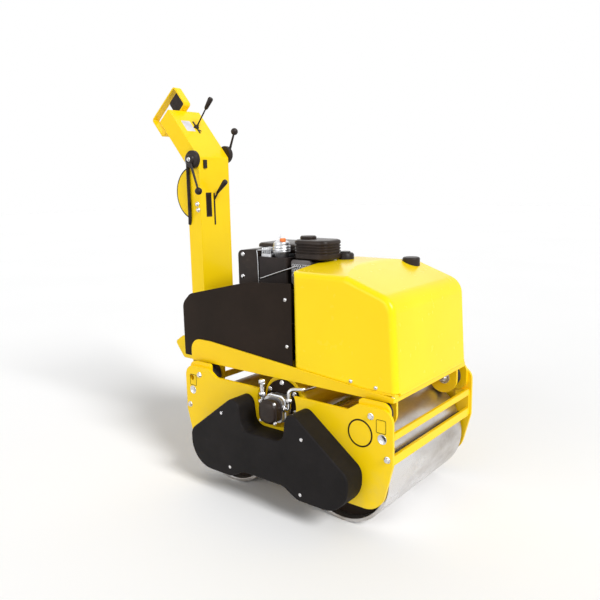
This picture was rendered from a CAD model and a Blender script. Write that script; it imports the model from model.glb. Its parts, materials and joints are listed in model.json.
import bmesh
import bpy
import json
import math
import numpy as np
from mathutils import Matrix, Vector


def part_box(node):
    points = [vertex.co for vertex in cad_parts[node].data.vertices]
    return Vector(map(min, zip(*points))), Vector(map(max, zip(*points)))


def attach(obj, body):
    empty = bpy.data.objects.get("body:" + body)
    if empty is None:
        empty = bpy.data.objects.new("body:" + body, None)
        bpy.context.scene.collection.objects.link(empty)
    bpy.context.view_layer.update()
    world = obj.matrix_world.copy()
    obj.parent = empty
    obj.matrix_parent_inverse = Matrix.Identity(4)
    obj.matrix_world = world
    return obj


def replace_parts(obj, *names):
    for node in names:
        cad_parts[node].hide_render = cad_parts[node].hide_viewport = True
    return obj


# Walk-behind double-drum roller: finishes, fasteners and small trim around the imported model.
# Places in the dictionaries are machine millimetres: x forward from midway between the axles,
# y to the machine's left from its middle plane, z up from the ground.

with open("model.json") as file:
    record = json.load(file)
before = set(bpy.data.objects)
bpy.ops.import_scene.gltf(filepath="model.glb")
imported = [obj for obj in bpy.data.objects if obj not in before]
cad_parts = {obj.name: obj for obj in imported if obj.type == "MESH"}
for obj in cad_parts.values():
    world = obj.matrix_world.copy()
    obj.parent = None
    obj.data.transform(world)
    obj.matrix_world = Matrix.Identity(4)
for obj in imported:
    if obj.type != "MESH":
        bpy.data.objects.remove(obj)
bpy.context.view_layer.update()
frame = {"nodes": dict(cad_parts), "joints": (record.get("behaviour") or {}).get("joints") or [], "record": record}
print("frame loaded")

hinges = {joint["name"]: np.array(joint["pos_m"]) for joint in frame["joints"]}
machineOrigin = (hinges["front_drum_spin"] + hinges["rear_drum_spin"]) / 2 * [1, 1, 0]
mm = 0.001
rightSide = (0, -1, 0)
leftSide = (0, 1, 0)
forward = (1, 0, 0)
bothSides = (("right", rightSide, 0), ("left", leftSide, 1))  # name, direction, end of a box along y


def inFrame(points):
    # machine millimetres to metres in the frame
    return np.asarray(points, float) * mm + machineOrigin


def nodeFace(node, axis, end):
    # machine millimetre of a CAD node's low (0) or high (1) side along an axis
    return (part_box(node)[end][axis] - machineOrigin[axis]) / mm


# Shapes: each returns points and quads, worked out as whole arrays

def gridQuads(rows, columns, wrap):
    # quads between neighbouring rows; with wrap, the last column joins the first
    row = np.arange(rows - 1)[:, None]
    column = np.arange(columns if wrap else columns - 1)[None, :]
    after = (column + 1) % columns
    corners = [row * columns + column, row * columns + after,
               (row + 1) * columns + after, (row + 1) * columns + column]
    return np.stack(corners, -1).reshape(-1, 4)


def lathe(profile, segments=24, sides=0):
    # a profile of radius and height turned about Z: (r cos a, r sin a, h);
    # with sides, r shrinks between corners as in a regular polygon
    profile = np.asarray(profile, float)
    angle = np.arange(segments) * math.tau / segments
    reach = np.ones(segments)
    if sides:
        step = math.tau / sides
        reach = math.cos(step / 2) / np.cos(angle % step - step / 2)
    radius = profile[:, :1] * reach
    height = np.repeat(profile[:, 1:], segments, 1)
    points = np.stack([radius * np.cos(angle), radius * np.sin(angle), height], -1)
    return points.reshape(-1, 3), gridQuads(len(profile), segments, True)


def tube(path, radius, segments=12, tip=0.0):
    # a ring carried along a path: point = path + r (side cos a + lift sin a), where side and lift
    # are square to the path's direction; radius may change along the path, and both ends close
    guide = (0.31, 0.12, 0.94)  # a direction that no path here follows
    path = np.asarray(path, float)
    radius = np.broadcast_to(np.asarray(radius, float), len(path))
    along = np.gradient(path, axis=0)
    along /= np.linalg.norm(along, axis=1, keepdims=True)
    side = np.cross(along, guide)
    side /= np.linalg.norm(side, axis=1, keepdims=True)
    lift = np.cross(side, along)
    angle = np.arange(segments) * math.tau / segments
    ring = side[:, None] * np.cos(angle)[:, None] + lift[:, None] * np.sin(angle)[:, None]
    rows = path[:, None] + ring * radius[:, None, None]
    foot = np.repeat(path[:1] - along[:1] * tip, segments, 0)[None]
    head = np.repeat(path[-1:] + along[-1:] * tip, segments, 0)[None]
    rows = np.concatenate([foot, rows, head])
    return rows.reshape(-1, 3), gridQuads(len(rows), segments, True)


def rounded(points, rounds=2):
    # cuts every corner at a quarter and three quarters of its runs, a few times over
    points = np.asarray(points, float)
    for _ in range(rounds):
        early = points[:-1] * 0.75 + points[1:] * 0.25
        late = points[:-1] * 0.25 + points[1:] * 0.75
        middle = np.stack([early, late], 1).reshape(-1, 3)
        points = np.concatenate([points[:1], middle, points[-1:]])
    return points


def roundedOutline(width, height, corner, perCorner=6):
    # a rectangle with round corners: a quarter circle about each corner's centre, as a loop of (x, y)
    quarter = np.linspace(0, math.pi / 2, perCorner)
    arc = np.stack([np.cos(quarter), np.sin(quarter)], -1) * corner
    loop = []
    for turn, (signX, signY) in enumerate([(1, 1), (-1, 1), (-1, -1), (1, -1)]):
        c, s = math.cos(turn * math.pi / 2), math.sin(turn * math.pi / 2)
        centre = [signX * (width / 2 - corner), signY * (height / 2 - corner)]
        loop.append(arc @ [[c, s], [-s, c]] + centre)
    return np.concatenate(loop)


def plate(outline, thickness, edge=0.4):
    # a flat plate: the outline at the foot and near the top, then drawn in; both faces close in the middle
    outline = np.asarray(outline, float)
    middle = outline.mean(0)
    spread = outline - middle
    inner = middle + spread * (1 - edge / np.abs(spread).max())
    rings = [(middle + spread * 0, 0), (outline, 0), (outline, thickness - edge),
             (inner, thickness), (middle + spread * 0, thickness)]
    rows = [np.column_stack([ring, np.full(len(ring), height)]) for ring, height in rings]
    return np.concatenate(rows), gridQuads(len(rows), len(outline), True)


def ringPlate(outer, inner, thickness, edge=0.3):
    # a flat band between two loops of equal count, its top drawn in by a hundredth of its width
    outer = np.asarray(outer, float)
    inner = np.asarray(inner, float)
    rings = [(outer, 0), (outer, thickness - edge), (outer * 0.99 + inner * 0.01, thickness),
             (outer * 0.01 + inner * 0.99, thickness), (inner, thickness - edge), (inner, 0), (outer, 0)]
    rows = [np.column_stack([ring, np.full(len(ring), height)]) for ring, height in rings]
    return np.concatenate(rows), gridQuads(len(rows), len(outer), True)


def pile(width, depth, corner, levels):
    # a rounded rectangle carried up Z: levels are (height, inset), and both ends close in the middle
    rows = []
    for height, inset in levels:
        loop = roundedOutline(width - 2 * inset, depth - 2 * inset, max(corner - inset, 0.5))
        rows.append(np.column_stack([loop, np.full(len(loop), height)]))
    rows = np.concatenate([rows[0] * [0, 0, 1]] + rows + [rows[-1] * [0, 0, 1]])
    return rows, gridQuads(len(levels) + 2, len(loop), True)


def ball(radius):
    # half a circle turned about Z, centred on the origin
    bend = np.linspace(-math.pi / 2, math.pi / 2, 13)
    return lathe([(max(radius * math.cos(a), 0), radius * math.sin(a)) for a in bend], 28)


def moved(shape, spot):
    # the shape with its foot set on the spot, unturned
    points, quads = shape
    return points + np.asarray(spot, float), quads


def arcThrough(first, middle, last, count):
    # points on the circle through three points of a plane, taken as complex numbers:
    # w = (c - a) / (b - a), centre = a + (b - a) (w - |w|^2) / (2i Im w)
    a, b, c = (complex(*point) for point in (first, middle, last))
    w = (c - a) / (b - a)
    centre = a + (b - a) * (w - abs(w) ** 2) / (2j * w.imag)
    ends = np.unwrap([np.angle(point - centre) for point in (a, b, c)])
    angle = np.linspace(ends[0], ends[2], count)
    radius = abs(a - centre)
    return np.stack([centre.real + radius * np.cos(angle), centre.imag + radius * np.sin(angle)], -1)


def standOn(shape, spot, normal, turn=0.0):
    # turns a shape made about Z so that Z runs along normal, and sets its foot on the spot
    points, quads = shape
    normal = np.asarray(normal, float) / np.linalg.norm(normal)
    guide = np.array([0, 0, 1.0]) if abs(normal[2]) < 0.9 else np.array([-1.0, 0, 0])
    side = np.cross(guide, normal)
    side /= np.linalg.norm(side)
    lift = np.cross(normal, side)
    c, s = math.cos(turn), math.sin(turn)
    axes = np.array([side * c + lift * s, lift * c - side * s, normal])
    return points @ axes + np.asarray(spot, float), quads


# Materials

class Wire:
    # a value inside a material; arithmetic on it adds the Math nodes
    def __init__(self, finish, socket):
        self.finish = finish
        self.socket = socket

    def maths(self, operation, *values):
        sockets = dict(enumerate(values))
        return self.finish.node("ShaderNodeMath", {"operation": operation}, sockets)

    def __add__(self, other):
        return self.maths("ADD", self, other)

    def __radd__(self, other):
        return self.maths("ADD", other, self)

    def __sub__(self, other):
        return self.maths("SUBTRACT", self, other)

    def __rsub__(self, other):
        return self.maths("SUBTRACT", other, self)

    def __mul__(self, other):
        return self.maths("MULTIPLY", self, other)

    def __rmul__(self, other):
        return self.maths("MULTIPLY", other, self)

    def clamped(self, low, high):
        # spreads low..high over 0..1
        limits = {"From Min": low, "From Max": high}
        return self.finish.node("ShaderNodeMapRange", {"clamp": True}, {"Value": self, **limits})


class Finish:
    # a material being made: node() adds any node, and feed() joins the results to the surface
    def __init__(self, name, constants):
        self.material = bpy.data.materials.new(name)
        self.material.use_nodes = True
        self.tree = self.material.node_tree
        self.surface = self.tree.nodes["Principled BSDF"]
        for socket, value in constants.items():
            self.surface.inputs[socket].default_value = value
        self.place = self.node("ShaderNodeTexCoord", output="Object")

    def node(self, kind, settings=None, sockets=None, output=0):
        # settings are set first, then each socket gets its value or its link
        node = self.tree.nodes.new(kind)
        for name, value in (settings or {}).items():
            setattr(node, name, value)
        for key, value in (sockets or {}).items():
            if isinstance(value, Wire):
                self.tree.links.new(value.socket, node.inputs[key])
            else:
                node.inputs[key].default_value = value
        return Wire(self, node.outputs[output])

    def scaled(self, scale):
        # the place stretched by a factor along each axis
        return self.node("ShaderNodeMapping", {}, {"Vector": self.place, "Scale": scale})

    def noise(self, scale, detail=3.0, roughness=0.5, vector=None):
        sockets = {"Vector": vector or self.place, "Scale": scale, "Detail": detail, "Roughness": roughness}
        return self.node("ShaderNodeTexNoise", {}, sockets)

    def cells(self, scale):
        return self.node("ShaderNodeTexVoronoi", {}, {"Vector": self.place, "Scale": scale})

    def mix(self, factor, first, second):
        # colours blended by a factor
        first = first if isinstance(first, Wire) else (*first, 1)
        second = second if isinstance(second, Wire) else (*second, 1)
        sockets = {0: factor, 6: first, 7: second}
        return self.node("ShaderNodeMix", {"data_type": "RGBA"}, sockets, output=2)

    def height(self):
        # height above the ground, metres
        return self.node("ShaderNodeSeparateXYZ", {}, {0: self.place}, output=2)

    def bumped(self, height, strength, distance, normal):
        # a height laid over an earlier normal
        sockets = {"Height": height, "Strength": strength, "Distance": distance, "Normal": normal}
        return self.node("ShaderNodeBump", {}, sockets)

    def softEdge(self, radius):
        # a normal that rounds every edge by a radius in metres
        return self.node("ShaderNodeBevel", {"samples": 4}, {"Radius": radius})

    def feed(self, **links):
        # joins values to the surface; an underscore in a name stands for a space
        for name, wire in links.items():
            self.tree.links.new(wire.socket, self.surface.inputs[name.replace("_", " ")])
        return self.material


dustColour = (0.42, 0.36, 0.22)


def yellowPaint(name, look):
    # sprayed enamel: faint mottle, orange peel, soft edges and dust low down
    constants = {"Specular IOR Level": look["gloss"], "Coat Roughness": 0.1, "Coat Weight": look["coat"]}
    finish = Finish(name, constants)
    mottle = finish.noise(look["mottleScale"], 4.0)
    colour = finish.mix(mottle.clamped(0.35, 0.65), look["deep"], look["pale"])
    specks = finish.noise(420.0, 2.0).clamped(0.68, 0.78)
    colour = finish.mix(specks * look["specks"], colour, look["speck"])
    low = 1.0 - finish.height().clamped(0.05, 0.5)
    dust = finish.noise(9.0, 6.0, 0.65).clamped(0.45, 0.8) * low
    colour = finish.mix(dust * look["dust"], colour, dustColour)
    peel = finish.noise(260.0, 2.0)
    rough = look["rough"] + finish.noise(30.0, 3.0) * 0.08 + dust * 0.25
    normal = finish.bumped(peel, 0.05, 0.0004, finish.softEdge(look["edge"]))
    return finish.feed(Base_Color=colour, Roughness=rough, Normal=normal)


def blackPaint(name, look):
    # dark enamel or moulded skin with fine grain, scuffs that lighten and soft edges
    finish = Finish(name, {"Specular IOR Level": look["gloss"], "Metallic": 0.0})
    mottle = finish.noise(look["mottleScale"], 5.0, 0.6)
    colour = finish.mix(mottle.clamped(0.3, 0.7), look["deep"], look["pale"])
    scuff = finish.noise(14.0, 8.0, 0.75, finish.scaled((1, 1, 3))).clamped(0.6, 0.78)
    colour = finish.mix(scuff * look["scuff"], colour, look["worn"])
    rough = look["rough"] + finish.noise(45.0, 3.0) * 0.12 - scuff * 0.06
    grain = finish.cells(look["grainScale"])
    normal = finish.bumped(grain, look["grain"], 0.0006, finish.softEdge(look["edge"]))
    return finish.feed(Base_Color=colour, Roughness=rough, Normal=normal)


def rubberSkin(name, look):
    # matte rubber with a dusty bloom
    finish = Finish(name, {"Specular IOR Level": 0.3})
    bloom = finish.noise(18.0, 6.0, 0.7).clamped(0.4, 0.75)
    colour = finish.mix(bloom * 0.6, look["deep"], look["pale"])
    rough = 0.62 + finish.noise(60.0, 3.0) * 0.2
    normal = finish.bumped(finish.noise(700.0, 3.0), 0.25, 0.0005, finish.softEdge(0.002))
    return finish.feed(Base_Color=colour, Roughness=rough, Normal=normal)


def drumSteel(name, look):
    # rolled steel ground bright: fine lines round the drum, tarnish patches and long scratches
    finish = Finish(name, {"Metallic": 1.0})
    lines = finish.noise(1.0, 2.0, 0.5, finish.scaled(look["lineScale"]))
    tarnish = finish.noise(3.2, 7.0, 0.6, finish.scaled(look["tarnishScale"])).clamped(0.4, 0.72)
    colour = finish.mix(tarnish * 0.8, look["bright"], look["tarnish"])
    scratch = finish.noise(1.0, 3.0, 0.6, finish.scaled(look["scratchScale"])).clamped(0.63, 0.7)
    colour = finish.mix(scratch * 0.35, colour, look["scratch"])
    rough = look["rough"] + lines * 0.1 + tarnish * 0.18
    normal = finish.bumped(lines, 0.12, 0.0003, finish.softEdge(0.002))
    return finish.feed(Base_Color=colour, Roughness=rough, Normal=normal)


def bareMetal(name, look):
    # cast or plated metal with a fine skin and dull patches
    finish = Finish(name, {"Metallic": 1.0})
    patch = finish.noise(look["patchScale"], 6.0, 0.6).clamped(0.35, 0.75)
    colour = finish.mix(patch, look["bright"], look["dull"])
    rough = look["rough"] + patch * look["spread"]
    grain = finish.noise(look["grainScale"], 2.0)
    normal = finish.bumped(grain, look["grain"], 0.0005, finish.softEdge(0.0012))
    return finish.feed(Base_Color=colour, Roughness=rough, Normal=normal)


paintLook = {"deep": (0.92, 0.60, 0.002), "pale": (0.96, 0.66, 0.003), "speck": (0.98, 0.74, 0.08),
             "mottleScale": 2.0, "specks": 0.08, "dust": 0.3, "rough": 0.26, "gloss": 0.2, "coat": 0.08,
             "edge": 0.003}
tankLook = {"deep": (0.94, 0.66, 0.002), "pale": (0.98, 0.72, 0.003), "speck": (0.99, 0.8, 0.1),
            "mottleScale": 1.6, "specks": 0.05, "dust": 0.0, "rough": 0.22, "gloss": 0.2, "coat": 0.1,
            "edge": 0.004}
satinLook = {"deep": (0.012, 0.007, 0.004), "pale": (0.020, 0.012, 0.008), "worn": (0.07, 0.05, 0.04),
             "mottleScale": 5.0, "scuff": 0.15, "gloss": 0.1, "rough": 0.4, "grainScale": 900.0,
             "grain": 0.04, "edge": 0.002}
caseLook = {"deep": (0.008, 0.007, 0.007), "pale": (0.014, 0.012, 0.012), "worn": (0.06, 0.05, 0.05),
            "mottleScale": 8.0, "scuff": 0.12, "gloss": 0.1, "rough": 0.5, "grainScale": 420.0,
            "grain": 0.3, "edge": 0.005}
engineLook = {"deep": (0.012, 0.007, 0.005), "pale": (0.028, 0.017, 0.012), "worn": (0.12, 0.09, 0.07),
              "mottleScale": 16.0, "scuff": 0.35, "gloss": 0.25, "rough": 0.3, "grainScale": 800.0,
              "grain": 0.10, "edge": 0.003}
plasticLook = {"deep": (0.014, 0.010, 0.009), "pale": (0.026, 0.018, 0.016), "worn": (0.09, 0.07, 0.06),
               "mottleScale": 12.0, "scuff": 0.15, "gloss": 0.22, "rough": 0.36, "grainScale": 1100.0,
               "grain": 0.08, "edge": 0.002}
padLook = {"deep": (0.012, 0.007, 0.005), "pale": (0.045, 0.032, 0.028)}
bushLook = {"deep": (0.030, 0.028, 0.034), "pale": (0.09, 0.08, 0.09)}
drumLook = {"bright": (0.74, 0.73, 0.73), "tarnish": (0.24, 0.19, 0.14), "scratch": (0.85, 0.85, 0.85),
            "rough": 0.20, "lineScale": (6, 900, 6), "tarnishScale": (1.6, 0.7, 1.6),
            "scratchScale": (14, 340, 14)}
darkSteelLook = {"bright": (0.16, 0.15, 0.15), "dull": (0.07, 0.06, 0.055), "patchScale": 20.0,
                 "rough": 0.38, "spread": 0.2, "grainScale": 300.0, "grain": 0.15}
castLook = {"bright": (0.66, 0.67, 0.69), "dull": (0.40, 0.40, 0.41), "patchScale": 24.0, "rough": 0.30,
            "spread": 0.16, "grainScale": 900.0, "grain": 0.16}
platedLook = {"bright": (0.76, 0.76, 0.78), "dull": (0.50, 0.48, 0.46), "patchScale": 60.0, "rough": 0.16,
              "spread": 0.18, "grainScale": 1500.0, "grain": 0.05}
capLook = {"deep": (0.78, 0.16, 0.03), "pale": (0.9, 0.27, 0.07), "speck": (0.95, 0.6, 0.4),
           "mottleScale": 30.0, "specks": 0.1, "dust": 0.0, "rough": 0.35, "gloss": 0.4, "coat": 0.0,
           "edge": 0.001}
labelLook = {"deep": (0.55, 0.53, 0.55), "pale": (0.74, 0.72, 0.74), "speck": (0.9, 0.9, 0.9),
             "mottleScale": 24.0, "specks": 0.1, "dust": 0.0, "rough": 0.3, "gloss": 0.4, "coat": 0.0,
             "edge": 0.0004}

finishes = {
    "yellow_paint": yellowPaint("yellow enamel", paintLook),
    "yellow_plastic": yellowPaint("yellow tank skin", tankLook),
    "black_paint": blackPaint("black enamel", satinLook),
    "black_case": blackPaint("textured black case", caseLook),
    "engine_black": blackPaint("engine black", engineLook),
    "black_plastic": blackPaint("black moulding", plasticLook),
    "black_rubber": rubberSkin("black rubber", padLook),
    "mount_rubber": rubberSkin("bush rubber", bushLook),
    "dark_steel": bareMetal("dark steel", darkSteelLook),
    "drum_steel": drumSteel("ground drum steel", drumLook),
    "bare_aluminium": bareMetal("cast aluminium", castLook),
    "plated_steel": bareMetal("plated steel", platedLook),
}
capOrange = yellowPaint("orange cap", capLook)
labelPale = yellowPaint("blank pale label", labelLook)

for row in frame["record"]["subparts"]:
    mesh = frame["nodes"][row["node"]].data
    mesh.materials.clear()
    mesh.materials.append(finishes[row["material_slot"]])
print("finishes on", len(frame["nodes"]), "nodes")


def makePiece(name, shapes, body, slotName, material=None, sharp=38):
    # joins shapes in machine millimetres into one closed mesh that rides on a body; the material
    # is the slot's own finish unless another is given
    counts = np.cumsum([0] + [len(points) for points, quads in shapes])
    points = inFrame(np.concatenate([points for points, quads in shapes]))
    quads = np.concatenate([quads + start for (_, quads), start in zip(shapes, counts)])
    mesh = bpy.data.meshes.new(name)
    mesh.from_pydata(points.tolist(), [], quads.tolist())
    work = bmesh.new()
    work.from_mesh(mesh)
    bmesh.ops.remove_doubles(work, verts=work.verts, dist=2e-6)
    bmesh.ops.dissolve_degenerate(work, edges=work.edges, dist=1e-6)
    bmesh.ops.recalc_face_normals(work, faces=work.faces)
    work.to_mesh(mesh)
    work.free()
    mesh.shade_smooth()
    mesh.set_sharp_from_angle(angle=math.radians(sharp))
    mesh.materials.append(material or finishes[slotName])
    piece = bpy.data.objects.new(name, mesh)
    bpy.context.scene.collection.objects.link(piece)
    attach(piece, body)
    return piece


# Fasteners

def hexBolt(size):
    # washer and hexagon head for a shank of the given diameter
    washer = lathe([(0, 0), (size * 1.15, 0), (size * 1.15, size * 0.16), (size * 1.05, size * 0.22),
                    (0, size * 0.22)])
    head = lathe([(0, size * 0.2), (size * 0.92, size * 0.2), (size * 0.92, size * 0.72),
                  (size * 0.78, size * 0.86), (0, size * 0.86)], sides=6)
    return [washer, head]


def domeScrew(size):
    # low domed head with a socket: an ellipse's quarter turned about Z
    bend = np.linspace(0, math.pi / 2, 7)
    dome = [(size * math.cos(a), size * 0.12 + size * 0.5 * math.sin(a)) for a in bend[:-1]]
    socket = [(size * 0.36, size * 0.6), (size * 0.34, size * 0.3), (0, size * 0.3)]
    return [lathe([(0, 0), (size, 0)] + dome + socket)]


def flatScrew(size):
    # countersunk head that stands barely proud
    return [lathe([(0, 0), (size, 0), (size * 0.94, 0.7), (size * 0.45, 0.8), (size * 0.4, 0.3), (0, 0.3)])]


headTurn = 0.7  # radians from one head to the next


def fasten(name, kind, size, spots, normal, body="chassis"):
    # a fastener on each spot, each head turned a little further than the last
    shapes = []
    for number, spot in enumerate(spots):
        for shape in kind(size):
            shapes.append(standOn(shape, spot, normal, number * headTurn))
    return makePiece(name, shapes, body, "plated_steel")


def fastenBothSides(name, kind, bolts):
    # the same fasteners on a node's right and left face
    for side, normal, end in bothSides:
        face = nodeFace(bolts["node"].format(side), 1, end)
        fasten(name + side, kind, bolts["size"], [(x, face, z) for x, z in bolts["spots"]], normal)


def boltCircle(bolts, middleX, face):
    # spots round a circle in a plane square to y: (x + r cos a, z + r sin a), from the top
    angles = np.arange(bolts["count"]) * math.tau / bolts["count"] + math.pi / 2
    return [(middleX + bolts["circle"] * math.cos(a), face, bolts["height"] + bolts["circle"] * math.sin(a))
            for a in angles]


plateBolts = {"node": "side_plate_{}", "size": 11,
              "spots": [(-441, 460), (441, 460), (-509, 313), (509, 313)]}
fastenBothSides("plate_bolts_", hexBolt, plateBolts)

caseBolts = {"size": 7, "spots": [(-215, 362), (-176, 138), (200, 346), (190, 125)]}
caseFace = nodeFace("drive_case", 1, 0)
caseSpots = [(x, caseFace, z) for x, z in caseBolts["spots"]]
fasten("case_bolts", flatScrew, caseBolts["size"], caseSpots, rightSide)

panelScrews = {"node": "side_panel_{}", "size": 8, "spots": [(19, 831), (24, 644)]}
fastenBothSides("panel_screws_", domeScrew, panelScrews)

tankScrews = {"node": "water_tank", "size": 8, "spots": [(324, 556), (432, 550), (502, 523)]}
fastenBothSides("tank_screws_", domeScrew, tankScrews)

flangeBolts = {"size": 9, "circle": 74, "count": 6, "height": 420}
flangeFace = nodeFace("exciter_flange", 1, 0)
fasten("flange_bolts", hexBolt, flangeBolts["size"], boltCircle(flangeBolts, 0, flangeFace), rightSide)

hubBolts = {"size": 9, "circle": 67, "count": 6, "height": 212.5, "axles": (-287.5, 287.5), "collar": 12}
hubFace = nodeFace("side_plate_left", 1, 1) + hubBolts["collar"]
hubSpots = [spot for x in hubBolts["axles"] for spot in boltCircle(hubBolts, x, hubFace)]
fasten("hub_bolts", hexBolt, hubBolts["size"], hubSpots, leftSide)

# the deck's hanger tabs are bolted to the rubber mounts from between the tabs
tabBolts = {"size": 13, "x": 441, "z": 460, "inset": 53, "washer": 27, "washerHeight": 3}
tabWasher = lathe([(0, 0), (tabBolts["washer"], 0), (tabBolts["washer"] - 1, tabBolts["washerHeight"]),
                   (0, tabBolts["washerHeight"])])
tabShapes = []
for end, normal in ((0, leftSide), (1, rightSide)):
    face = nodeFace("deck_frame", 1, end) + tabBolts["inset"] * normal[1]
    for x in (-tabBolts["x"], tabBolts["x"]):
        spot = (x, face, tabBolts["z"])
        tabShapes.append(standOn(tabWasher, spot, normal))
        for shape in hexBolt(tabBolts["size"]):
            tabShapes.append(standOn(moved(shape, (0, 0, tabBolts["washerHeight"])), spot, normal))
makePiece("tab_bolts", tabShapes, "chassis", "plated_steel")

pivotNuts = {"node": "handle_pivot", "size": 13, "spots": [(-684, 500)]}
fastenBothSides("pivot_nut_", hexBolt, pivotNuts)
print("fasteners done")


# Vibration motor: cast body with a band and a darker end housing, and hexagon fittings on its pipes

# levels are (distance from the root, inset); a negative inset stands out as a band
motor = {"z": 400, "width": 94, "height": 102, "corner": 24, "root": -294, "length": 58,
         "levels": [(0, 3), (3, 0), (26, 0), (28, -5), (42, -5), (44, 0), (58, 0)]}
motorBody = standOn(pile(motor["width"], motor["height"], motor["corner"], motor["levels"]),
                    (0, motor["root"], motor["z"]), rightSide)
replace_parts(makePiece("motor_body", [motorBody], "chassis", "bare_aluminium"), "vibration_motor")

motorEnd = {"narrower": 8, "lower": 10, "corner": 32, "drop": 2,
            "levels": [(0, 0), (22, 0), (24, -3), (33, -3), (35, 1), (42, 4), (46, 11)]}
endRoot = motor["root"] - motor["length"]
endZ = motor["z"] - motorEnd["drop"]
endShape = pile(motor["width"] - motorEnd["narrower"], motor["height"] - motorEnd["lower"],
                motorEnd["corner"], motorEnd["levels"])
endPiece = makePiece("motor_end", [standOn(endShape, (0, endRoot, endZ), rightSide)],
                     "chassis", "black_paint", finishes["engine_black"])
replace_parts(endPiece, "motor_cap")

motorBolts = {"size": 6, "x": 37, "z": 39, "out": 34}
motorSpots = [(x, endRoot - motorBolts["out"], endZ + z)
              for x in (-motorBolts["x"], motorBolts["x"]) for z in (-motorBolts["z"], motorBolts["z"])]
fasten("motor_bolts", hexBolt, motorBolts["size"], motorSpots, rightSide)


def pipeNut(radius, length):
    # a hexagon with both rims turned down
    rim = radius * 0.9
    return lathe([(0, 0), (rim, 0), (radius, 2), (radius, length - 2), (rim, length), (0, length)], sides=6)


pipeNuts = {"y": -340, "radius": 14, "length": 17, "upright": [(-66, 438), (-66, 490), (72, 436)],
            "sideRadius": 16, "sideLength": 12, "sideX": 46, "sideZ": 410}
nuts = []
for x, z in pipeNuts["upright"]:
    nuts.append(moved(pipeNut(pipeNuts["radius"], pipeNuts["length"]), (x, pipeNuts["y"], z)))
for side in (-1, 1):
    spot = (side * pipeNuts["sideX"], pipeNuts["y"], pipeNuts["sideZ"])
    nuts.append(standOn(pipeNut(pipeNuts["sideRadius"], pipeNuts["sideLength"]), spot, (side, 0, 0)))
makePiece("pipe_nuts", nuts, "chassis", "plated_steel")
print("motor done")


# Engine: what shows between the side panel and the tank

engineTop = 972  # foot of the air box, canister and rocker cover

airBox = {"centre": (20, -72), "width": 172, "depth": 136, "corner": 38, "ribs": 4, "pitch": 11,
          "first": 22, "groove": 4, "top": 78}
airLid = {"centre": (-26, -74), "sunk": 1, "profile": [(0, 0), (33, 0), (34, 3), (34, 9), (30, 14), (0, 15)]}


def ribbedLevels(box):
    # a groove of the given depth below each rib, then a rounded top edge
    levels = [(0, 5), (4, 0)]
    for rib in range(box["ribs"]):
        start = box["first"] + rib * box["pitch"]
        levels += [(start, 0), (start + 2, box["groove"]), (start + 5, box["groove"]), (start + 7, 0)]
    top = box["top"]
    return levels + [(top - 8, 0), (top - 3, 3), (top, 10)]


boxShape = moved(pile(airBox["width"], airBox["depth"], airBox["corner"], ribbedLevels(airBox)),
                 (*airBox["centre"], engineTop))
lidFoot = engineTop + airBox["top"] - airLid["sunk"]
lidShape = moved(lathe(airLid["profile"], 32), (*airLid["centre"], lidFoot))
airPiece = makePiece("air_box", [boxShape, lidShape], "chassis", "black_plastic", finishes["engine_black"])
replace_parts(airPiece, "air_filter")

canister = {"centre": (-135, -116),
            "profile": [(0, 0), (25, 0), (27, 5), (35, 17), (38, 26), (36, 29), (38, 32), (37, 38), (35, 40),
                        (37, 43), (36, 50), (34, 52), (35, 55), (32, 64), (22, 70), (0, 70)]}
canisterPin = {"centre": (-150, -110), "up": 66, "profile": [(0, 0), (3, 0), (3, 30), (2, 32), (0, 32)]}
canisterCap = {"centre": (-122, -124), "up": 67,
               "profile": [(0, 0), (12, 0), (13, 2), (13, 11), (10, 14), (0, 14)]}
can = moved(lathe(canister["profile"], 36), (*canister["centre"], engineTop))
pin = moved(lathe(canisterPin["profile"], 12), (*canisterPin["centre"], engineTop + canisterPin["up"]))
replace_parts(makePiece("canister", [can, pin], "chassis", "bare_aluminium"), "fuel_filter")
cap = moved(lathe(canisterCap["profile"], 24), (*canisterCap["centre"], engineTop + canisterCap["up"]))
makePiece("canister_cap", [cap], "chassis", "black_plastic", capOrange)

# a flat cover with upright fins across it
rocker = {"centre": (-203, -112), "size": (58, 60), "corner": 6, "levels": [(0, 0), (12, 0), (14, 2)]}
rockerFins = {"count": 5, "first": -226, "pitch": 11, "up": 10, "size": (4, 54), "corner": 1.5,
              "levels": [(0, 0), (26, 0), (28, 1)]}
cover = pile(*rocker["size"], rocker["corner"], rocker["levels"])
fin = pile(*rockerFins["size"], rockerFins["corner"], rockerFins["levels"])
coverShapes = [moved(cover, (*rocker["centre"], engineTop))]
for number in range(rockerFins["count"]):
    x = rockerFins["first"] + number * rockerFins["pitch"]
    coverShapes.append(moved(fin, (x, rocker["centre"][1], engineTop + rockerFins["up"])))
makePiece("rocker_cover", coverShapes, "chassis", "bare_aluminium")

cowlTop = {"spot": (-200, 42, 1003), "size": (262, 200), "corner": 26,
           "levels": [(0, 0), (8, 0), (14, 3), (18, 10)]}
hood = moved(pile(*cowlTop["size"], cowlTop["corner"], cowlTop["levels"]), cowlTop["spot"])
makePiece("cowl_top", [hood], "chassis", "engine_black")

windowEdge = {"radius": 2.2,
              "path": [(-240, -150, 860), (-243, -150, 990), (-250, -150, 1001), (-178, -150, 1003)]}
edge = tube(rounded(windowEdge["path"]), windowEdge["radius"], 8)
makePiece("window_edge", [edge], "chassis", "bare_aluminium")

stayRod = {"radius": 3.2, "path": [(-226, -153, 880), (-120, -155, 915), (-20, -157, 946)]}
makePiece("stay_rod", [tube(stayRod["path"], stayRod["radius"], 10)], "chassis", "plated_steel")

cowlBolts = {"size": 8, "spots": [(-328, -150, 979), (-332, -150, 882), (-34, -150, 882)]}
fasten("cowl_bolts", hexBolt, cowlBolts["size"], cowlBolts["spots"], rightSide)

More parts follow.
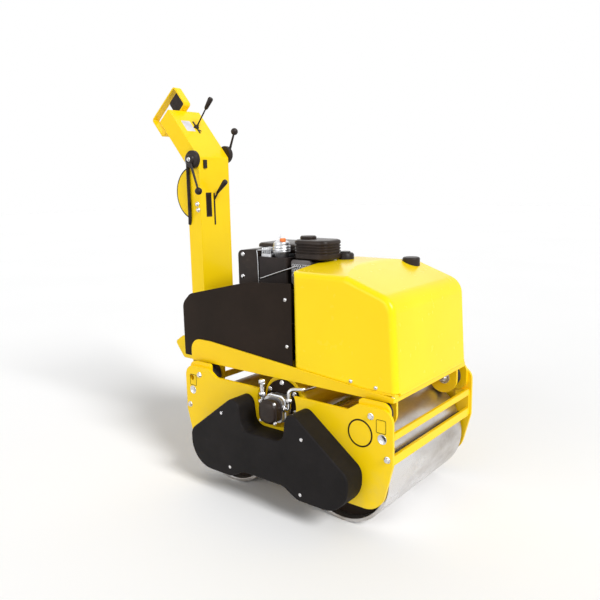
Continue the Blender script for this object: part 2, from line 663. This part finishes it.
# six-sided rings side by side, every other row set over by half a ring
guardPlate = {"x": (-46, 46), "z": (908, 964), "cell": 6.6, "hole": 4.7, "wall": 1.6, "gap": 2}
sixth = np.arange(6) * math.tau / 6 + math.tau / 12
hexagon = np.stack([np.cos(sixth), np.sin(sixth)], -1)
guardCell = ringPlate(hexagon * guardPlate["cell"], hexagon * guardPlate["hole"], guardPlate["wall"])
stepX = guardPlate["cell"] * math.sqrt(3)
stepZ = guardPlate["cell"] * 1.5
guardFace = nodeFace("silencer", 1, 0) - guardPlate["gap"]
cells = []
for row in range(int((guardPlate["z"][1] - guardPlate["z"][0]) / stepZ)):
    for column in range(int((guardPlate["x"][1] - guardPlate["x"][0]) / stepX)):
        x = guardPlate["x"][0] + (column + 0.5 * (row % 2)) * stepX
        z = guardPlate["z"][0] + row * stepZ
        cells.append(standOn(guardCell, (x, guardFace, z), rightSide))
makePiece("silencer_guard", cells, "chassis", "dark_steel", finishes["bare_aluminium"])

# a low cap in the tank's top, its neck sunk into the tank
rearCap = {"spot": (99, 12, 992),
           "profile": [(0, -30), (36, -30), (36, -8), (31, -1), (22, 0), (21, 5), (0, 5)]}
rearCapShape = moved(lathe(rearCap["profile"], 32), rearCap["spot"])
makePiece("rear_tank_cap", [rearCapShape], "chassis", "black_plastic")
print("engine done")


# Handle: levers, cable, guard edge, buttons and the blank label

head = {"x": -640, "z": 1404, "angle": math.radians(40), "half": 97}


def onHead(out, across, along):
    # out of the operator's face, to the left, and up along the head
    c, s = math.cos(head["angle"]), math.sin(head["angle"])
    return head["x"] + out * c - along * s, across, head["z"] + out * s + along * c


headNormal = (math.cos(head["angle"]), 0, math.sin(head["angle"]))

# a round housing on each side of the head, with a ball-ended arm and a bolt in its middle
leverHub = [(0, 0), (38, 0), (41, 3), (41, 19), (37, 24), (25, 26), (23, 33), (18, 37), (0, 37)]
leverArm = {"out": 31, "radii": [7, 5.5, 4.5], "ball": 17, "bolt": 9, "boltOut": 36}
levers = {"right": {"hub": (-666, 1394), "tip": (-615, 1250), "side": -1, "node": "throttle_lever"},
          "left": {"hub": (-668, 1420), "tip": (-622, 1527), "side": 1, "node": "brake_lever"}}
for name, lever in levers.items():
    outward = (0, lever["side"], 0)
    face = head["half"] * lever["side"]
    arm = face + leverArm["out"] * lever["side"]
    x, z = lever["hub"]
    tipX, tipZ = lever["tip"]
    armPath = [(x, arm, z), ((x + tipX) / 2, arm, (z + tipZ) / 2), (tipX, arm, tipZ)]
    shapes = [standOn(lathe(leverHub, 40), (x, face, z), outward),
              tube(armPath, leverArm["radii"], 14),
              moved(ball(leverArm["ball"]), (tipX, arm, tipZ))]
    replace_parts(makePiece("lever_" + name, shapes, "handle", "black_plastic"), lever["node"])
    boltFace = face + leverArm["boltOut"] * lever["side"]
    fasten("lever_bolt_" + name, hexBolt, leverArm["bolt"], [(x, boltFace, z)], outward, "handle")

cableClamp = {"spot": (-706, -97, 1392), "size": (22, 34), "corner": 5,
              "levels": [(0, 0), (13, 0), (15, 2)]}
clamp = pile(*cableClamp["size"], cableClamp["corner"], cableClamp["levels"])
clampShape = standOn(clamp, cableClamp["spot"], rightSide)
makePiece("cable_clamp", [clampShape], "handle", "bare_aluminium")

# clipped along the column's side, from the clamp into the guard
throttleCable = {"radius": 8, "path": [(-704, -105.5, 1378), (-706, -105.5, 1338), (-706, -105.5, 1150),
                                       (-708, -104, 1118), (-716, -98, 1096)]}
conduit = tube(rounded(throttleCable["path"]), throttleCable["radius"], 14, tip=2)
makePiece("throttle_cable", [conduit], "handle", "black_rubber")

# a rubber edge along the bow of the cable guard
guardEdge = {"radius": 5, "y": -93.0, "through": [(-724, 1352), (-796, 1256), (-724, 1130)], "points": 40}
bow = arcThrough(*guardEdge["through"], guardEdge["points"])
bowPath = np.column_stack([bow[:, 0], np.full(len(bow), guardEdge["y"]), bow[:, 1]])
makePiece("guard_edge", [tube(bowPath, guardEdge["radius"], 10, tip=1)], "handle", "black_rubber")

# crossed plates on the head's face for the lever's gate, a boot, and a stem that ends in a grip;
# points are (out of the face, along the head), all at one y
speedLever = {"y": 12.5, "gate": (9, 76, 4), "gateThickness": 2.5, "gateSpot": (0, 189),
              "cross": (6, 44, 2.8), "crossThickness": 2.0, "crossSpot": (0, 178), "crossTurn": 0.95,
              "boot": [(0, 0), (13, 0), (12, 4), (6, 9), (5, 16), (0, 16)],
              "bootSpot": (2, 190), "stem": [(6, 190), (60, 199), (120, 209)], "stemRadius": 3.5,
              "grip": [(104, 206), (110, 207), (135, 211), (158, 215), (164, 216)],
              "gripRadii": [6, 9, 11, 12.5, 10]}


def onSpeedLever(out, along):
    return onHead(out, speedLever["y"], along)


gatePlate = plate(roundedOutline(*speedLever["gate"]), speedLever["gateThickness"])
gate = standOn(gatePlate, onSpeedLever(*speedLever["gateSpot"]), headNormal)
crossPlate = plate(roundedOutline(*speedLever["cross"]), speedLever["crossThickness"])
cross = standOn(crossPlate, onSpeedLever(*speedLever["crossSpot"]), headNormal, speedLever["crossTurn"])
boot = standOn(lathe(speedLever["boot"], 24), onSpeedLever(*speedLever["bootSpot"]), headNormal)
stem = tube([onSpeedLever(*point) for point in speedLever["stem"]], speedLever["stemRadius"], 12)
grip = tube([onSpeedLever(*point) for point in speedLever["grip"]], speedLever["gripRadii"], 20, tip=2)
speedPiece = makePiece("speed_lever_grip", [gate, cross, boot, stem, grip], "handle", "black_paint",
                       finishes["black_plastic"])
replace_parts(speedPiece, "speed_lever")

# an upright strip on the column's face for the lever's slot, with a stem and a grip at one y
choke = {"y": -7, "slot": (8, 150, 3.8), "slotThickness": 2.5, "slotZ": 1165,
         "stem": [(-641, 1206), (-626, 1225), (-612, 1243)], "stemRadius": 4,
         "grip": [(-621, 1236), (-617, 1240), (-590, 1264), (-563, 1289), (-558, 1293)],
         "gripRadii": [4, 6, 9.5, 13, 11]}
slotPlate = plate(roundedOutline(*choke["slot"]), choke["slotThickness"])
slot = standOn(slotPlate, (head["x"], choke["y"], choke["slotZ"]), forward)
stem = tube([(x, choke["y"], z) for x, z in choke["stem"]], choke["stemRadius"], 12)
grip = tube([(x, choke["y"], z) for x, z in choke["grip"]], choke["gripRadii"], 20, tip=2)
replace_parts(makePiece("choke_grip", [slot, stem, grip], "handle", "black_plastic"), "choke_lever")

pad = {"at": (-5.5, 13, 345.5), "size": (80, 82), "corner": 14,
       "levels": [(0, 3), (3, 0), (23, 0), (26, 3)]}
padBlock = pile(*pad["size"], pad["corner"], pad["levels"])
padShape = standOn(padBlock, onHead(*pad["at"]), rightSide, head["angle"])
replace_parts(makePiece("hand_pad", [padShape], "handle", "black_rubber"), "loop_pad")

pushButtons = {"spots": [(-658, -97, 1190), (-653, -97, 1163)],
               "profile": [(0, 0), (11, 0), (11, 3), (8.5, 4), (8.5, 8), (7, 10), (0, 10.5)]}
buttons = [standOn(lathe(pushButtons["profile"], 24), spot, rightSide) for spot in pushButtons["spots"]]
makePiece("push_buttons", buttons, "handle", "plated_steel")

headLabel = {"outline": (54, 66, 4), "thickness": 0.6, "at": (0, -34, 196)}
label = plate(roundedOutline(*headLabel["outline"]), headLabel["thickness"])
labelShape = standOn(label, onHead(*headLabel["at"]), headNormal)
makePiece("head_label", [labelShape], "handle", "black_plastic", labelPale)

plateField = {"outline": (22, 96, 3), "thickness": 0.8, "spot": (-638, -43, 1186)}
field = plate(roundedOutline(*plateField["outline"]), plateField["thickness"])
makePiece("plate_field", [standOn(field, plateField["spot"], forward)], "handle", "black_paint")
print("handle done")


# Rims of the lashing holes, and blank outlines where the signs sit, on both side plates

lashingRims = {"spot": (487.5, 384),
               "profile": [(0, 0), (18.8, 0), (18.4, 1.0), (16, 1.0), (15, 0.4), (0, 0.4)]}
signRing = {"spot": (395, 387), "radius": 53, "band": 6, "thickness": 0.8}
signFrames = {"spot": (483, 430), "outline": (40, 50, 5), "inner": 0.93, "thickness": 0.8}

ringAngle = np.arange(48) * math.tau / 48
circle = np.stack([np.cos(ringAngle), np.sin(ringAngle)], -1)
ringShape = ringPlate(circle * signRing["radius"], circle * (signRing["radius"] - signRing["band"]),
                      signRing["thickness"])
frameLoop = roundedOutline(*signFrames["outline"])
frameShape = ringPlate(frameLoop, frameLoop * signFrames["inner"], signFrames["thickness"])


def onBothEnds(shape, spot, face, normal):
    # the shape near the rear and the front of a side plate
    return [standOn(shape, (sign * spot[0], face, spot[1]), normal) for sign in (-1, 1)]


for side, normal, end in bothSides:
    face = nodeFace("side_plate_" + side, 1, end)
    x, z = signRing["spot"]
    rims = onBothEnds(lathe(lashingRims["profile"], 32), lashingRims["spot"], face, normal)
    makePiece("lashing_rims_" + side, rims, "chassis", "plated_steel")
    makePiece("sign_ring_" + side, [standOn(ringShape, (x, face, z), normal)], "chassis", "black_paint")
    frames = onBothEnds(frameShape, signFrames["spot"], face, normal)
    makePiece("sign_frames_" + side, frames, "chassis", "black_paint")
print("signs done")


# Stage, light and camera

stageLook = {"floor": (0.93, 0.93, 0.93), "cloud": (0.95, 0.95, 0.95), "size": 60.0,
             "ambient": 0.36}
light = {"key": {"aim": (-1.0, 0.22, -0.75), "power": 2.7, "softness": 22},
         "side": {"aim": (0.2, 1.0, -0.30), "power": 0.95, "softness": 45},
         "back": {"aim": (0.6, -0.6, -0.7), "power": 0.5, "softness": 60}}
lampDistance = 4  # metres from the origin; a sun's light is the same at any distance
view = {"place": (1608.8, -2179.5, 1275.4), "turn": 38.675, "height": 10.232, "roll": -1.109,
        "focal": 645.1, "picture": 600, "sensor": 36.0}


def makeFloor():
    # one pale square on the ground
    half = stageLook["size"] / 2
    mesh = bpy.data.meshes.new("floor")
    corners = [(-half, -half, 0), (half, -half, 0), (half, half, 0), (-half, half, 0)]
    mesh.from_pydata(corners, [], [(0, 1, 2, 3)])
    finish = Finish("pale floor", {"Roughness": 0.9, "Specular IOR Level": 0.1})
    cloud = finish.noise(0.6, 2.0).clamped(0.2, 0.8)
    colour = finish.mix(cloud, stageLook["floor"], stageLook["cloud"])
    mesh.materials.append(finish.feed(Base_Color=colour))
    floor = bpy.data.objects.new("floor", mesh)
    bpy.context.scene.collection.objects.link(floor)


def makeWorld():
    # white to the camera and in metal and glass, and a plain level of light for all else
    world = bpy.data.worlds.new("studio")
    bpy.context.scene.world = world
    world.use_nodes = True
    tree = world.node_tree
    tree.nodes.clear()
    output = tree.nodes.new("ShaderNodeOutputWorld")
    seen = tree.nodes.new("ShaderNodeBackground")
    seen.inputs["Color"].default_value = (1, 1, 1, 1)
    lit = tree.nodes.new("ShaderNodeBackground")
    lit.inputs["Color"].default_value = (1, 1, 1, 1)
    lit.inputs["Strength"].default_value = stageLook["ambient"]
    path = tree.nodes.new("ShaderNodeLightPath")
    either = tree.nodes.new("ShaderNodeMath")
    either.operation = "MAXIMUM"
    anyOfThree = tree.nodes.new("ShaderNodeMath")
    anyOfThree.operation = "MAXIMUM"
    mixer = tree.nodes.new("ShaderNodeMixShader")
    tree.links.new(path.outputs["Is Camera Ray"], either.inputs[0])
    tree.links.new(path.outputs["Is Glossy Ray"], either.inputs[1])
    tree.links.new(either.outputs[0], anyOfThree.inputs[0])
    tree.links.new(path.outputs["Is Transmission Ray"], anyOfThree.inputs[1])
    tree.links.new(anyOfThree.outputs[0], mixer.inputs[0])
    tree.links.new(lit.outputs[0], mixer.inputs[1])
    tree.links.new(seen.outputs[0], mixer.inputs[2])
    tree.links.new(mixer.outputs[0], output.inputs["Surface"])


def makeLights():
    # suns that shine along their aim
    for name, lamp in light.items():
        data = bpy.data.lights.new(name, "SUN")
        data.energy = lamp["power"]
        data.angle = math.radians(lamp["softness"])
        sun = bpy.data.objects.new(name, data)
        aim = np.array(lamp["aim"], float)
        back = -aim / np.linalg.norm(aim)
        side = np.cross((0, 0, 1), back)
        side /= np.linalg.norm(side)
        lift = np.cross(back, side)
        matrix = Matrix(np.array([side, lift, back]).T.tolist()).to_4x4()
        matrix.translation = (back * lampDistance).tolist()
        sun.matrix_world = matrix
        bpy.context.scene.collection.objects.link(sun)


def makeCamera():
    # looks along -back: turn about Z, then height above the horizon, then roll about the view
    turn, height, roll = (math.radians(view[key]) for key in ("turn", "height", "roll"))
    level = math.cos(height)
    back = np.array([math.sin(turn) * level, -math.cos(turn) * level, math.sin(height)])
    right = np.cross((0, 0, 1), back)
    right /= np.linalg.norm(right)
    lift = np.cross(back, right)
    side = math.cos(roll) * right + math.sin(roll) * lift
    above = -math.sin(roll) * right + math.cos(roll) * lift
    matrix = Matrix(np.array([side, above, back]).T.tolist()).to_4x4()
    matrix.translation = inFrame(view["place"]).tolist()
    data = bpy.data.cameras.new("camera")
    data.sensor_width = view["sensor"]
    data.lens = view["focal"] / view["picture"] * view["sensor"]
    data.clip_end = 200
    camera = bpy.data.objects.new("camera", data)
    camera.matrix_world = matrix
    bpy.context.scene.collection.objects.link(camera)
    bpy.context.scene.camera = camera


makeFloor()
makeWorld()
makeLights()
makeCamera()
bpy.context.scene.view_settings.view_transform = "Standard"
print("stage, light and camera done")
